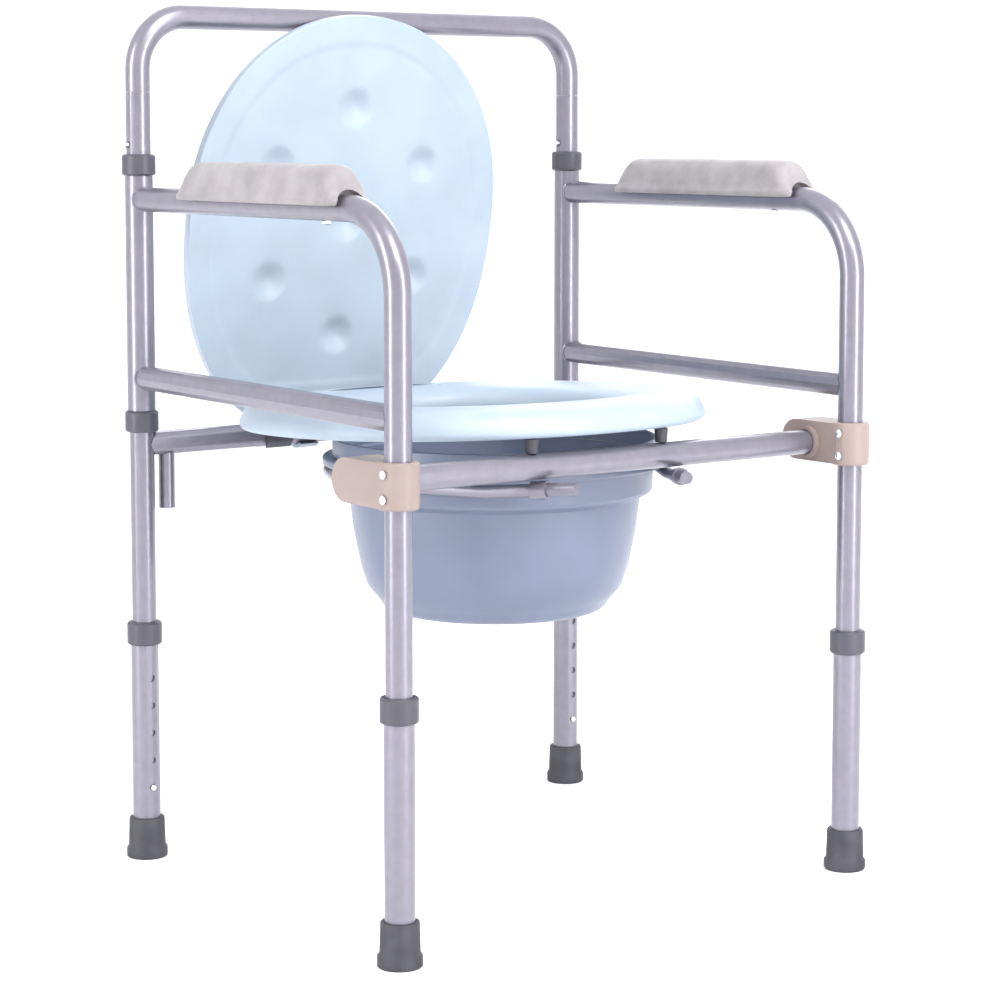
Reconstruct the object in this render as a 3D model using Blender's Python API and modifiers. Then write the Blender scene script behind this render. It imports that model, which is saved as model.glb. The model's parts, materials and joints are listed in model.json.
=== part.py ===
"""Folding commode chair: a steel tube frame with sliding lower legs, a hinged seat and lid, and a pail on a rod.

Metres, +Z up. The front faces -Y and the origin is on the floor, midway between the four legs.
"""

import math

import bmesh
import bpy
from mathutils import Matrix, Vector

# Frame: half the distance between the leg axes, and the heights above the floor
HALF_WIDTH = 0.244
HALF_DEPTH = 0.2065
ARM_Z = 0.604
SIDE_BAR_REAR_Z = 0.443
SIDE_BAR_FRONT_Z = 0.440
REAR_BAR_Z = 0.382
FRONT_BAR_Z = 0.387
TOP_Z = 0.768
BACK_JOINT_Z = 0.700
TOP_COLLAR_Z = (0.6254, 0.6445)
LOW_COLLAR_Z = (0.3936, 0.4128)
LEG_COLLAR_Z = (0.198, 0.219)
ARM_BEND = 0.068
BACK_BEND = 0.048
STUB_X = 0.219
STUB_END_Z = 0.322

# Tube stock
TUBE_R = 0.0111
TUBE_WALL = 0.0012
OUTER_R = 0.0127
BORE_R = 0.0114
BACK_WALL = 0.0020
SPIGOT_R = 0.0096
SPIGOT_Z = (0.630, 0.706)
STUB_R = 0.0075
GAP = 0.0003

# Lower legs: a row of holes, and the spring button in the lowest one
HOLE_PITCH = 0.0254
HOLE_COUNT = 5
BUTTON_Z = 0.066
HOLE_R = 0.0032
BUTTON_R = 0.0028
INNER_TUBE_END_Z = 0.072
LEG_END_Z = 0.0043
LEG_TOP_Z = 0.2094
BACK_BUTTON_Z = 0.653
TIP_HEIGHT = 0.037

# Front bar and its brackets
FRONT_BAR_Y = -0.170
BRACKET_Z = (0.369, 0.407)
BRACKET_R = 0.0170
FLANGE_HALF = 0.0160
FLANGE_END = 0.072
SOCKET_R = 0.0145
SOCKET_DEPTH = 0.021
RIVET_Y = -HALF_DEPTH - 0.0035
RIVET_SPREAD = 0.010

# Pail, splash guard, and the rod that carries them
PAIL_Y = -0.0025
RING_R = 0.149
ROD_R = 0.0055
ROD_Z = 0.3627
ROD_END = (0.060, -0.1985, 0.3698)
FLANGE_Z = (0.3685, 0.3760)
FLANGE_R = 0.155
GUARD_R = 0.146
GUARD_TOP_Z = 0.393
PAIL_WALL = 0.0025
PAIL_PROFILE = (
    (0.0, 0.237),
    (0.088, 0.237),
    (0.097, 0.239),
    (0.104, 0.243),
    (0.115, 0.259),
    (0.121, 0.277),
    (0.128, 0.313),
    (0.131, 0.340),
    (0.1425, 0.346),
    (0.1425, 0.3685),
)

# Seat and lid: both turn on the rear bar's axis. Their own frames have the axis as X and point forwards along -Y
SEAT_X = -0.015
PIVOT_Y = HALF_DEPTH
PIVOT_Z = REAR_BAR_Z
SEAT_TILT = math.radians(2.1)
LID_ANGLE = math.radians(80.4)
SEAT_LOW = 0.0154
SEAT_TOP = 0.0414
SEAT_HALF_W = 0.206
SEAT_CENTRE = -0.197
SEAT_HALF_L = 0.198
HOLE_HALF_W = 0.118
HOLE_HALF_L = 0.125
CLIP_X = 0.090
LID_HALF_W = 0.172
LID_CENTRE = -0.197
LID_FRONT = 0.192
LID_REAR = 0.215
LID_BACK = -0.010
LID_LOW = 0.0419
LID_THICK = 0.011
EAR_X = 0.055
EAR_HALF = 0.010
GRIP_R = 0.0150

SIDES = {"left": -1, "right": 1}


def clear_scene():
    for old in list(bpy.data.objects):
        bpy.data.objects.remove(old, do_unlink=True)


def collection(name):
    made = bpy.data.collections.new(name)
    bpy.context.scene.collection.children.link(made)
    return made


def material(name, colour, roughness, metallic):
    made = bpy.data.materials.new(name)
    made.use_nodes = True
    shader = made.node_tree.nodes["Principled BSDF"]
    shader.inputs["Base Color"].default_value = (*colour, 1.0)
    shader.inputs["Roughness"].default_value = roughness
    shader.inputs["Metallic"].default_value = metallic
    return made


clear_scene()
PARTS = collection("commode_chair")
CUTTERS = collection("cutters")
FRAME_PAINT = material("hammered_frame_paint", (0.30, 0.28, 0.33), 0.35, 0.6)
COLLAR_PLASTIC = material("dark_collar_plastic", (0.09, 0.09, 0.11), 0.5, 0.0)
BRACKET_PLASTIC = material("taupe_bracket", (0.36, 0.31, 0.28), 0.5, 0.0)
SEAT_PLASTIC = material("blue_grey_plastic", (0.33, 0.41, 0.47), 0.45, 0.0)
PAIL_PLASTIC = material("dark_blue_grey_plastic", (0.20, 0.24, 0.30), 0.4, 0.0)
PAD_FOAM = material("grey_pad_vinyl", (0.33, 0.32, 0.33), 0.6, 0.0)
TIP_RUBBER = material("black_rubber", (0.03, 0.03, 0.035), 0.8, 0.0)
BRIGHT_STEEL = material("bright_steel", (0.75, 0.75, 0.78), 0.2, 1.0)


def new_object(name, mesh, finish, where):
    made = bpy.data.objects.new(name, mesh)
    where.objects.link(made)
    if finish:
        mesh.materials.append(finish)
    if where is CUTTERS:
        made.hide_render = True
        made.display_type = "WIRE"
    return made


def smooth(obj, angle=40.0):
    obj.data.shade_smooth()
    obj.data.set_sharp_from_angle(angle=math.radians(angle))


def lathe(name, profile, finish, at=(0, 0, 0), steps=16, closed=True, where=None):
    """A turned body: the profile's (radius, height) points run down its outer side."""
    mesh = bpy.data.meshes.new(name)
    count = len(profile)
    edges = [(i, i + 1) for i in range(count - 1)]
    if closed:
        edges.append((count - 1, 0))
    mesh.from_pydata([(r, 0.0, z) for r, z in profile], edges, [])
    obj = new_object(name, mesh, finish, where or PARTS)
    obj.location = at
    screw = obj.modifiers.new("Screw", "SCREW")
    screw.steps = steps
    screw.render_steps = steps
    screw.use_merge_vertices = True
    screw.merge_threshold = 0.00001
    screw.use_smooth_shade = True
    return obj


def sleeve_profile(outer, inner, low, high, chamfer=0.0):
    """A plain ring, with its outer edges chamfered when asked."""
    if not chamfer:
        return [(outer, high), (outer, low), (inner, low), (inner, high)]
    return [
        (outer - chamfer, high),
        (outer, high - chamfer),
        (outer, low + chamfer),
        (outer - chamfer, low),
        (inner, low),
        (inner, high),
    ]


def cylinder_cutter(name, radius, start, end, sides=24):
    """A plain cylinder between two points, used only to cut."""
    start = Vector(start)
    end = Vector(end)
    bm = bmesh.new()
    bmesh.ops.create_cone(
        bm,
        cap_ends=True,
        segments=sides,
        radius1=radius,
        radius2=radius,
        depth=(end - start).length,
    )
    turn = (end - start).to_track_quat("Z", "Y").to_matrix().to_4x4()
    bm.transform(Matrix.Translation((start + end) / 2) @ turn)
    mesh = bpy.data.meshes.new(name)
    bm.to_mesh(mesh)
    bm.free()
    return new_object(name, mesh, None, CUTTERS)


def box_mesh(name, low, high, finish=None, where=None):
    bm = bmesh.new()
    bmesh.ops.create_cube(bm, size=1.0)
    low = Vector(low)
    high = Vector(high)
    size = high - low
    bm.transform(Matrix.Translation((low + high) / 2) @ Matrix.Diagonal((*size, 1.0)))
    mesh = bpy.data.meshes.new(name)
    bm.to_mesh(mesh)
    bm.free()
    return new_object(name, mesh, finish, where or PARTS)


def cut(obj, cutter, operation="DIFFERENCE"):
    step = obj.modifiers.new(cutter.name, "BOOLEAN")
    step.operation = operation
    step.solver = "EXACT"
    step.object = cutter
    return obj


def bevel(obj, width, segments=2):
    step = obj.modifiers.new("Bevel", "BEVEL")
    step.width = width
    step.segments = segments
    step.limit_method = "ANGLE"
    step.angle_limit = math.radians(40)
    return obj


def rounded(points, radius, steps=6):
    """The points of a route whose corners are arcs of one radius."""
    points = [Vector(p) for p in points]
    made = [points[0]]
    for before, corner, after in zip(points, points[1:], points[2:]):
        back = (before - corner).normalized()
        ahead = (after - corner).normalized()
        half = back.angle(ahead) / 2
        centre = corner + (back + ahead).normalized() * radius / math.sin(half)
        start = corner + back * radius / math.tan(half)
        first = start - centre
        last = corner + ahead * radius / math.tan(half) - centre
        for i in range(steps + 1):
            share = i / steps
            angle = first.angle(last)
            a = math.sin((1 - share) * angle) / math.sin(angle)
            b = math.sin(share * angle) / math.sin(angle)
            made.append(centre + first * a + last * b)
    made.append(points[-1])
    return made


def rod(name, points, radius, finish, wall=0.0, detail=4):
    """A bent bar along the points, solid or, with a wall, hollow and open at its ends."""
    curve = bpy.data.curves.new(name + "_path", "CURVE")
    curve.dimensions = "3D"
    curve.bevel_depth = radius
    curve.bevel_resolution = detail
    curve.use_fill_caps = not wall
    spline = curve.splines.new("POLY")
    spline.points.add(len(points) - 1)
    for point, co in zip(spline.points, points):
        point.co = (*co, 1.0)
    path = bpy.data.objects.new(name + "_path", curve)
    PARTS.objects.link(path)
    graph = bpy.context.evaluated_depsgraph_get()
    mesh = bpy.data.meshes.new_from_object(path.evaluated_get(graph))
    mesh.name = name
    bm = bmesh.new()
    bm.from_mesh(mesh)
    bmesh.ops.remove_doubles(bm, verts=bm.verts, dist=0.00001)
    bmesh.ops.recalc_face_normals(bm, faces=bm.faces)
    bm.to_mesh(mesh)
    bm.free()
    bpy.data.objects.remove(path, do_unlink=True)
    mesh.materials.clear()
    obj = new_object(name, mesh, finish, PARTS)
    smooth(obj)
    if wall:
        shell = obj.modifiers.new("Wall", "SOLIDIFY")
        shell.thickness = wall
        shell.offset = -1.0
        shell.use_even_offset = True
    return obj


def oval(half_w, centre_y, front, rear, front_power, rear_power, count=40):
    """A superellipse whose front and rear halves have their own length and squareness."""
    points = []
    for i in range(count):
        angle = 2 * math.pi * i / count
        c = math.cos(angle)
        s = math.sin(angle)
        power = 2 / (rear_power if s > 0 else front_power)
        length = rear if s > 0 else front
        x = half_w * math.copysign(abs(c) ** power, c)
        y = length * math.copysign(abs(s) ** power, s)
        points.append((x, centre_y + y))
    return points


def loft(name, loops, finish, capped):
    """A skin through closed loops of points, capped at both ends or joined into a ring."""
    bm = bmesh.new()
    rings = [[bm.verts.new(p) for p in loop] for loop in loops]
    pairs = list(zip(rings, rings[1:]))
    if not capped:
        pairs.append((rings[-1], rings[0]))
    for low, high in pairs:
        count = len(low)
        for i in range(count):
            j = (i + 1) % count
            bm.faces.new((low[i], low[j], high[j], high[i]))
    if capped:
        bm.faces.new(rings[0])
        bm.faces.new(rings[-1])
    bmesh.ops.recalc_face_normals(bm, faces=bm.faces)
    mesh = bpy.data.meshes.new(name)
    bm.to_mesh(mesh)
    bm.free()
    obj = new_object(name, mesh, finish, PARTS)
    smooth(obj)
    return obj


def prism(name, outline, low, high, finish):
    """An outline of (y, z) points carried along X from low to high."""
    bm = bmesh.new()
    ends = [[bm.verts.new((x, y, z)) for y, z in outline] for x in (low, high)]
    for ring in ends:
        bm.faces.new(ring)
    count = len(outline)
    for i in range(count):
        j = (i + 1) % count
        bm.faces.new((ends[0][i], ends[0][j], ends[1][j], ends[1][i]))
    bmesh.ops.recalc_face_normals(bm, faces=bm.faces)
    mesh = bpy.data.meshes.new(name)
    bm.to_mesh(mesh)
    bm.free()
    return new_object(name, mesh, finish, PARTS)


def spring_button(name, at, direction, inner, outer):
    """A domed pin that points along direction, from inner to outer distance of the tube's axis."""
    dome = 0.0014
    profile = [
        (0.0, outer),
        (BUTTON_R * 0.6, outer - dome * 0.3),
        (BUTTON_R, outer - dome),
        (BUTTON_R, inner),
        (0.0, inner),
    ]
    button = lathe(name, profile, BRIGHT_STEEL, at, steps=12, closed=False)
    button.rotation_euler = Vector(direction).to_track_quat("Z", "Y").to_euler()
    return button


def back_frame():
    """Both rear uprights, the bar and stubs between them, their collars and the backrest hoop."""
    bar_cutters = []
    for side, sign in SIDES.items():
        x = sign * HALF_WIDTH
        at = (x, HALF_DEPTH, 0)
        profile = sleeve_profile(TUBE_R, TUBE_R - TUBE_WALL, INNER_TUBE_END_Z, BACK_JOINT_Z)
        upright = lathe(f"rear_upright_{side}", profile, FRAME_PAINT, at)
        hole_start = (x - 0.020, HALF_DEPTH, BACK_BUTTON_Z)
        hole_end = (x - 0.004, HALF_DEPTH, BACK_BUTTON_Z)
        hole = cylinder_cutter(f"back_hole_{side}", HOLE_R, hole_start, hole_end, 16)
        cut(upright, hole)
        for name, (low, high) in (("top", TOP_COLLAR_Z), ("lower", LOW_COLLAR_Z)):
            ring = sleeve_profile(0.0152, BORE_R, low, high, 0.0015)
            lathe(f"{name}_collar_{side}", ring, COLLAR_PLASTIC, at)
        bar_cutters.append(
            cylinder_cutter(f"upright_cope_{side}", BORE_R, (*at[:2], 0.30), (*at[:2], 0.50))
        )
        spring_button(
            f"backrest_button_{side}", (x, HALF_DEPTH, BACK_BUTTON_Z), (-1, 0, 0), 0.0065, 0.0156
        )
    ends = [(sign * HALF_WIDTH, HALF_DEPTH, REAR_BAR_Z) for sign in (-1, 1)]
    bar = rod("rear_crossbar", ends, TUBE_R, FRAME_PAINT, TUBE_WALL)
    for cutter in bar_cutters:
        cut(bar, cutter)
    cope = cylinder_cutter("rear_bar_cope", BORE_R, ends[0], ends[1])
    for side, sign in SIDES.items():
        x = sign * STUB_X
        profile = sleeve_profile(STUB_R, STUB_R - TUBE_WALL, STUB_END_Z, REAR_BAR_Z - 0.004)
        stub = lathe(f"stub_tube_{side}", profile, FRAME_PAINT, (x, HALF_DEPTH, 0), steps=20)
        cut(stub, cope)
    backrest_hoop()


def backrest_hoop():
    low = BACK_JOINT_Z + GAP
    corners = [
        (-HALF_WIDTH, HALF_DEPTH, low),
        (-HALF_WIDTH, HALF_DEPTH, TOP_Z),
        (HALF_WIDTH, HALF_DEPTH, TOP_Z),
        (HALF_WIDTH, HALF_DEPTH, low),
    ]
    hoop = rod("backrest_hoop", rounded(corners, BACK_BEND), TUBE_R, FRAME_PAINT, BACK_WALL)
    for side, sign in SIDES.items():
        x = sign * HALF_WIDTH
        profile = sleeve_profile(SPIGOT_R, SPIGOT_R - TUBE_WALL, *SPIGOT_Z)
        spigot = lathe(
            f"spigot_{side}", profile, None, (x, HALF_DEPTH, 0), steps=20, where=CUTTERS
        )
        cut(hoop, spigot, "UNION")
        hole_start = (x - 0.020, HALF_DEPTH, BACK_BUTTON_Z)
        hole_end = (x - 0.002, HALF_DEPTH, BACK_BUTTON_Z)
        hole = cylinder_cutter(f"spigot_hole_{side}", HOLE_R, hole_start, hole_end, 16)
        cut(hoop, hole)


def side_frame(side, sign):
    """A side frame: the sleeve that turns on the rear upright, the arm that bends into the leg, the bar."""
    x = sign * HALF_WIDTH
    low = LOW_COLLAR_Z[1] + GAP
    high = TOP_COLLAR_Z[0] - GAP
    profile = sleeve_profile(OUTER_R, BORE_R, low, high)
    lathe(f"hinge_sleeve_{side}", profile, FRAME_PAINT, (x, HALF_DEPTH, 0))
    cope = cylinder_cutter(
        f"sleeve_cope_{side}", OUTER_R + GAP, (x, HALF_DEPTH, 0.40), (x, HALF_DEPTH, 0.64), 32
    )
    corners = [(x, HALF_DEPTH, ARM_Z), (x, -HALF_DEPTH, ARM_Z), (x, -HALF_DEPTH, INNER_TUBE_END_Z)]
    arm = rod(f"arm_tube_{side}", rounded(corners, ARM_BEND), TUBE_R, FRAME_PAINT, TUBE_WALL)
    cut(arm, cope)
    bar_ends = [(x, HALF_DEPTH, SIDE_BAR_REAR_Z), (x, -HALF_DEPTH, SIDE_BAR_FRONT_Z)]
    bar = rod(f"side_bar_{side}", bar_ends, TUBE_R, FRAME_PAINT, TUBE_WALL)
    cut(bar, cope)
    leg_cope = cylinder_cutter(
        f"leg_cope_{side}", BORE_R, (x, -HALF_DEPTH, 0.40), (x, -HALF_DEPTH, 0.48), 32
    )
    cut(bar, leg_cope)
    arm_pad(side, x, arm)


def arm_pad(side, x, arm):
    """A moulded pad that straddles the arm, and the screw that holds it from below."""
    half = 0.0215
    low = 0.606
    high = 0.639
    front = -0.1435
    back = 0.111
    outline = [
        (front, low),
        (back, low),
        (back - 0.004, low + 0.012),
        (back - 0.020, high),
        (front + 0.020, high),
        (front + 0.004, low + 0.012),
    ]
    pad = prism(f"arm_pad_{side}", outline, x - half, x + half, PAD_FOAM)
    bevel(pad, 0.005, 2)
    tube = cylinder_cutter(
        f"pad_groove_{side}", BORE_R, (x, -0.30, ARM_Z), (x, 0.30, ARM_Z), 32
    )
    cut(pad, tube)
    screw_y = -0.105
    shank = 0.0018
    head = 0.0042
    under = ARM_Z - TUBE_R - GAP
    profile = [
        (0.0, high - 0.010),
        (shank, high - 0.010),
        (shank, under),
        (head, under),
        (head, under - 0.0018),
        (head * 0.6, under - 0.0028),
        (0.0, under - 0.0028),
    ]
    lathe(
        f"pad_screw_{side}", profile, BRIGHT_STEEL, (x, screw_y, 0), steps=16, closed=False
    )
    start = (x, screw_y, under - 0.01)
    bore = cylinder_cutter(f"screw_bore_{side}", shank + GAP, start, (x, screw_y, high - 0.0097), 12)
    cut(pad, bore)
    cut(arm, bore)


def front_bracket(side, sign):
    """A bracket that wraps the front leg and turns on it, with a flange that holds the front bar."""
    x = sign * HALF_WIDTH
    low, high = BRACKET_Z
    profile = sleeve_profile(BRACKET_R, 0.006, low, high, 0.0015)
    bracket = lathe(f"front_bracket_{side}", profile, BRACKET_PLASTIC, (x, -HALF_DEPTH, 0), 32)
    radius = (high - low) / 2 - 0.0008
    centre_y = -HALF_DEPTH + FLANGE_END - radius
    centre_z = (high + low) / 2
    outline = [(-HALF_DEPTH, centre_z - radius), (-HALF_DEPTH, centre_z + radius)]
    for i in range(13):
        angle = math.pi / 2 - math.pi * i / 12
        outline.append((centre_y + radius * math.cos(angle), centre_z + radius * math.sin(angle)))
    flange = prism(f"flange_{side}", outline, x - FLANGE_HALF, x + FLANGE_HALF, None)
    move_to_cutters(flange)
    cut(bracket, flange, "UNION")
    mouth = (x - sign * SOCKET_DEPTH, FRONT_BAR_Y, FRONT_BAR_Z)
    back = (x, FRONT_BAR_Y, FRONT_BAR_Z)
    cut(bracket, cylinder_cutter(f"bar_socket_{side}", SOCKET_R, mouth, back, 24), "UNION")
    leg = cylinder_cutter(
        f"bracket_bore_{side}", BORE_R, (x, -HALF_DEPTH, 0.30), (x, -HALF_DEPTH, 0.48), 32
    )
    cut(bracket, leg)
    pocket_end = (x + sign * GAP, FRONT_BAR_Y, FRONT_BAR_Z)
    pocket_start = (x - sign * 0.030, FRONT_BAR_Y, FRONT_BAR_Z)
    pocket = cylinder_cutter(f"bar_pocket_{side}", BORE_R, pocket_start, pocket_end, 32)
    cut(bracket, pocket)
    for place, offset in (("upper", RIVET_SPREAD), ("lower", -RIVET_SPREAD)):
        rivet(bracket, f"{side}_{place}", x, centre_z + offset)


def rivet(bracket, label, x, z):
    """A blind rivet set in the bracket's wall beside the leg, with a domed head that faces -X."""
    head = 0.0038
    shank = 0.0020
    tail = 0.0129
    face = BRACKET_R + GAP
    profile = [
        (0.0, face + 0.0022),
        (head * 0.7, face + 0.0018),
        (head, face + 0.0006),
        (head, face),
        (shank, face),
        (shank, tail),
        (0.0, tail),
    ]
    made = lathe(
        f"rivet_{label}", profile, BRIGHT_STEEL, (x, RIVET_Y, z), steps=16, closed=False
    )
    made.rotation_euler = (0, -math.pi / 2, 0)
    start = (x - tail + GAP, RIVET_Y, z)
    end = (x - 0.03, RIVET_Y, z)
    cut(bracket, cylinder_cutter(f"rivet_hole_{label}", shank + GAP, start, end, 16))


def move_to_cutters(obj):
    PARTS.objects.unlink(obj)
    CUTTERS.objects.link(obj)
    obj.hide_render = True
    obj.display_type = "WIRE"


def front_bar():
    reach = HALF_WIDTH - GAP
    ends = [(-reach, FRONT_BAR_Y, FRONT_BAR_Z), (reach, FRONT_BAR_Y, FRONT_BAR_Z)]
    rod("front_crossbar", ends, TUBE_R, FRAME_PAINT, TUBE_WALL)
    return cylinder_cutter("front_bar_cope", BORE_R, ends[0], ends[1])


def lower_leg(place, x, y, facing):
    """A leg that slides over the tube above, with its collar, rubber tip and spring button."""
    profile = sleeve_profile(OUTER_R, BORE_R, LEG_END_Z, LEG_TOP_Z)
    leg = lathe(f"lower_leg_{place}", profile, FRAME_PAINT, (x, y, 0))
    for i in range(HOLE_COUNT):
        z = BUTTON_Z + i * HOLE_PITCH
        start = (x, y + facing * 0.008, z)
        end = (x, y + facing * 0.018, z)
        cut(leg, cylinder_cutter(f"leg_hole_{place}_{i}", HOLE_R, start, end, 14))
    low, high = LEG_COLLAR_Z
    step = LEG_TOP_Z + GAP
    collar = [
        (0.0145, high),
        (0.0160, high - 0.0015),
        (0.0160, low + 0.0015),
        (0.0145, low),
        (OUTER_R + GAP, low),
        (OUTER_R + GAP, step),
        (BORE_R, step),
        (BORE_R, high),
    ]
    lathe(f"leg_collar_{place}", collar, COLLAR_PLASTIC, (x, y, 0))
    tip = [
        (0.0, LEG_END_Z - GAP),
        (OUTER_R + GAP, LEG_END_Z - GAP),
        (OUTER_R + GAP, TIP_HEIGHT),
        (0.0155, TIP_HEIGHT),
        (0.01625, TIP_HEIGHT - 0.001),
        (0.0170, 0.0110),
        (0.01875, 0.0085),
        (0.01875, 0.0012),
        (0.0178, 0.0),
        (0.0, 0.0),
    ]
    lathe(f"rubber_tip_{place}", tip, TIP_RUBBER, (x, y, 0), closed=False)
    spring_button(f"leg_button_{place}", (x, y, BUTTON_Z), (0, facing, 0), 0.0080, 0.0150)


def legs():
    for side, sign in SIDES.items():
        x = sign * HALF_WIDTH
        lower_leg(f"rear_{side}", x, HALF_DEPTH, -1)
        lower_leg(f"front_{side}", x, -HALF_DEPTH, 1)


def pail_rod(bar_cope):
    """One bent rod: a ring under the pail's rim whose two ends run out under the front bar."""
    end_x, end_y, end_z = ROD_END
    away = Vector((end_x, end_y - PAIL_Y))
    first = math.atan2(away.y, away.x) + math.acos(RING_R / away.length)
    last = math.pi - first
    points = [Vector((end_x, end_y, end_z))]
    steps = 32
    for i in range(steps + 1):
        angle = first + (last - first) * i / steps
        x = RING_R * math.cos(angle)
        points.append(Vector((x, PAIL_Y + RING_R * math.sin(angle), ROD_Z)))
    for way, at in ((1, 1), (-1, len(points) + 1)):
        clear = Vector((way * RING_R * math.cos(first), PAIL_Y + RING_R * math.sin(first), ROD_Z))
        clear += 0.42 * (Vector((way * end_x, end_y, ROD_Z)) - clear)
        points.insert(at, clear)
    points.append(Vector((-end_x, end_y, end_z)))
    rod("pail_rod", points, ROD_R, FRAME_PAINT, detail=2)
    share = (FRONT_BAR_Y - end_y) / (points[1].y - end_y)
    centre = points[0].lerp(points[1], share)
    along = points[1] - points[0]
    for side, sign in SIDES.items():
        profile = sleeve_profile(ROD_R + 0.0023, ROD_R + GAP, -0.007, 0.007)
        at = (sign * centre.x, centre.y, centre.z)
        saddle = lathe(f"rod_saddle_{side}", profile, FRAME_PAINT, at, steps=16)
        way = Vector((sign * along.x, along.y, along.z))
        saddle.rotation_euler = way.to_track_quat("Z", "Y").to_euler()
        cut(saddle, bar_cope)


def rod_rest():
    """A small shelf under the rear bar, where the back of the pail rod lies."""
    top = ROD_Z - ROD_R - GAP
    back = HALF_DEPTH + 0.009
    bar_low = REAR_BAR_Z - TUBE_R - GAP
    outline = [
        (0.1435, top - 0.003),
        (back, top - 0.003),
        (back, bar_low),
        (HALF_DEPTH - 0.010, bar_low),
        (HALF_DEPTH - 0.010, top),
        (0.1435, top),
    ]
    prism("rod_rest", outline, -0.020, 0.020, FRAME_PAINT)


def pail():
    """The pail, whose rim lies on the rod, and the loose splash guard that stands on the rim."""
    top = FLANGE_Z[1]
    inner = []
    for r, z in PAIL_PROFILE[:-1]:
        inner.append((max(r - PAIL_WALL, 0.0), z + (PAIL_WALL if r < 0.1 else 0.0015)))
    inner.append((PAIL_PROFILE[-1][0] - PAIL_WALL, top))
    rim = [(FLANGE_R - 0.002, top), (FLANGE_R, top - 0.002), (FLANGE_R, FLANGE_Z[0])]
    outer = list(reversed(PAIL_PROFILE))
    lathe("pail", inner + rim + outer, PAIL_PLASTIC, (0, PAIL_Y, 0), steps=40, closed=False)
    wall = sleeve_profile(GUARD_R, GUARD_R - PAIL_WALL, top + GAP, GUARD_TOP_Z)
    lathe("splash_guard", wall, PAIL_PLASTIC, (0, PAIL_Y, 0), steps=36)


def on_pivot(obj, angle):
    """Puts an object that was made about the pivot line in place, its front end raised by angle."""
    obj.location = (SEAT_X, PIVOT_Y, PIVOT_Z)
    obj.rotation_euler = (-angle, 0, 0)
    return obj


def seat():
    """The seat ring, with two notches at its back edge for the lid's ears."""
    loops = []
    for inset, z in (
        (0.001, SEAT_LOW),
        (0.0, SEAT_LOW + 0.002),
        (0.0, SEAT_LOW + 0.006),
        (0.007, SEAT_TOP - 0.006),
        (0.011, SEAT_TOP - 0.002),
        (0.022, SEAT_TOP),
    ):
        shape = oval(
            SEAT_HALF_W - inset, SEAT_CENTRE, SEAT_HALF_L - inset, SEAT_HALF_L - inset, 2.2, 2.2
        )
        loops.append([(x, y, z) for x, y in shape])
    for grow, z in ((0.016, SEAT_TOP), (0.004, SEAT_TOP - 0.004), (0.0, SEAT_LOW)):
        shape = oval(
            HOLE_HALF_W + grow, SEAT_CENTRE, HOLE_HALF_L + grow, HOLE_HALF_L + grow, 2.1, 2.1
        )
        loops.append([(x, y, z) for x, y in shape])
    body = loft("seat", loops, SEAT_PLASTIC, capped=False)
    for side, sign in SIDES.items():
        middle = sign * EAR_X
        half = EAR_HALF + 0.0008
        low = (middle - half, -GRIP_R - 0.0008, 0.0)
        high = (middle + half, 0.030, 0.060)
        notch = box_mesh(f"ear_notch_{side}", low, high, None, CUTTERS)
        cut(body, on_pivot(notch, SEAT_TILT))
        seat_bumper(side, sign)
        grip(f"seat_clip_{side}", sign * CLIP_X, 0.0135, SEAT_LOW - GAP, SEAT_TILT)
    on_pivot(body, SEAT_TILT)


def grip(name, x, half, top, angle):
    """A clip that snaps over the rear bar from above, with a block up to the given height."""
    clip = box_mesh(name, (x - half, -GRIP_R, 0.0), (x + half, GRIP_R, top), COLLAR_PLASTIC)
    on_pivot(clip, angle)
    centre = Vector((SEAT_X + x, PIVOT_Y, PIVOT_Z))
    reach = Vector((half, 0, 0))
    jaw = cylinder_cutter(f"{name}_jaw", GRIP_R, centre - reach * 0.99, centre + reach * 0.99, 24)
    cut(clip, jaw, "UNION")
    bore = cylinder_cutter(f"{name}_bore", BORE_R, centre - reach * 2, centre + reach * 2, 24)
    cut(clip, bore)
    low = (x - half * 2, -0.0085, -0.030)
    mouth = box_mesh(f"{name}_mouth", low, (x + half * 2, 0.0085, 0.0), None, CUTTERS)
    cut(clip, on_pivot(mouth, angle))
    return clip


def seat_bumper(side, sign):
    """A foot under the seat's front, which stands on the front bar."""
    x = SEAT_X + sign * 0.070
    radius = 0.006
    rise = math.tan(SEAT_TILT)
    under = PIVOT_Z + SEAT_LOW / math.cos(SEAT_TILT) + (PIVOT_Y - FRONT_BAR_Y - radius) * rise
    low = FRONT_BAR_Z + TUBE_R + GAP
    high = under - GAP
    profile = [(0.0, high), (radius, high), (radius * 0.85, low), (0.0, low)]
    lathe(
        f"seat_bumper_{side}", profile, TIP_RUBBER, (x, FRONT_BAR_Y, 0), steps=20, closed=False
    )


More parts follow.
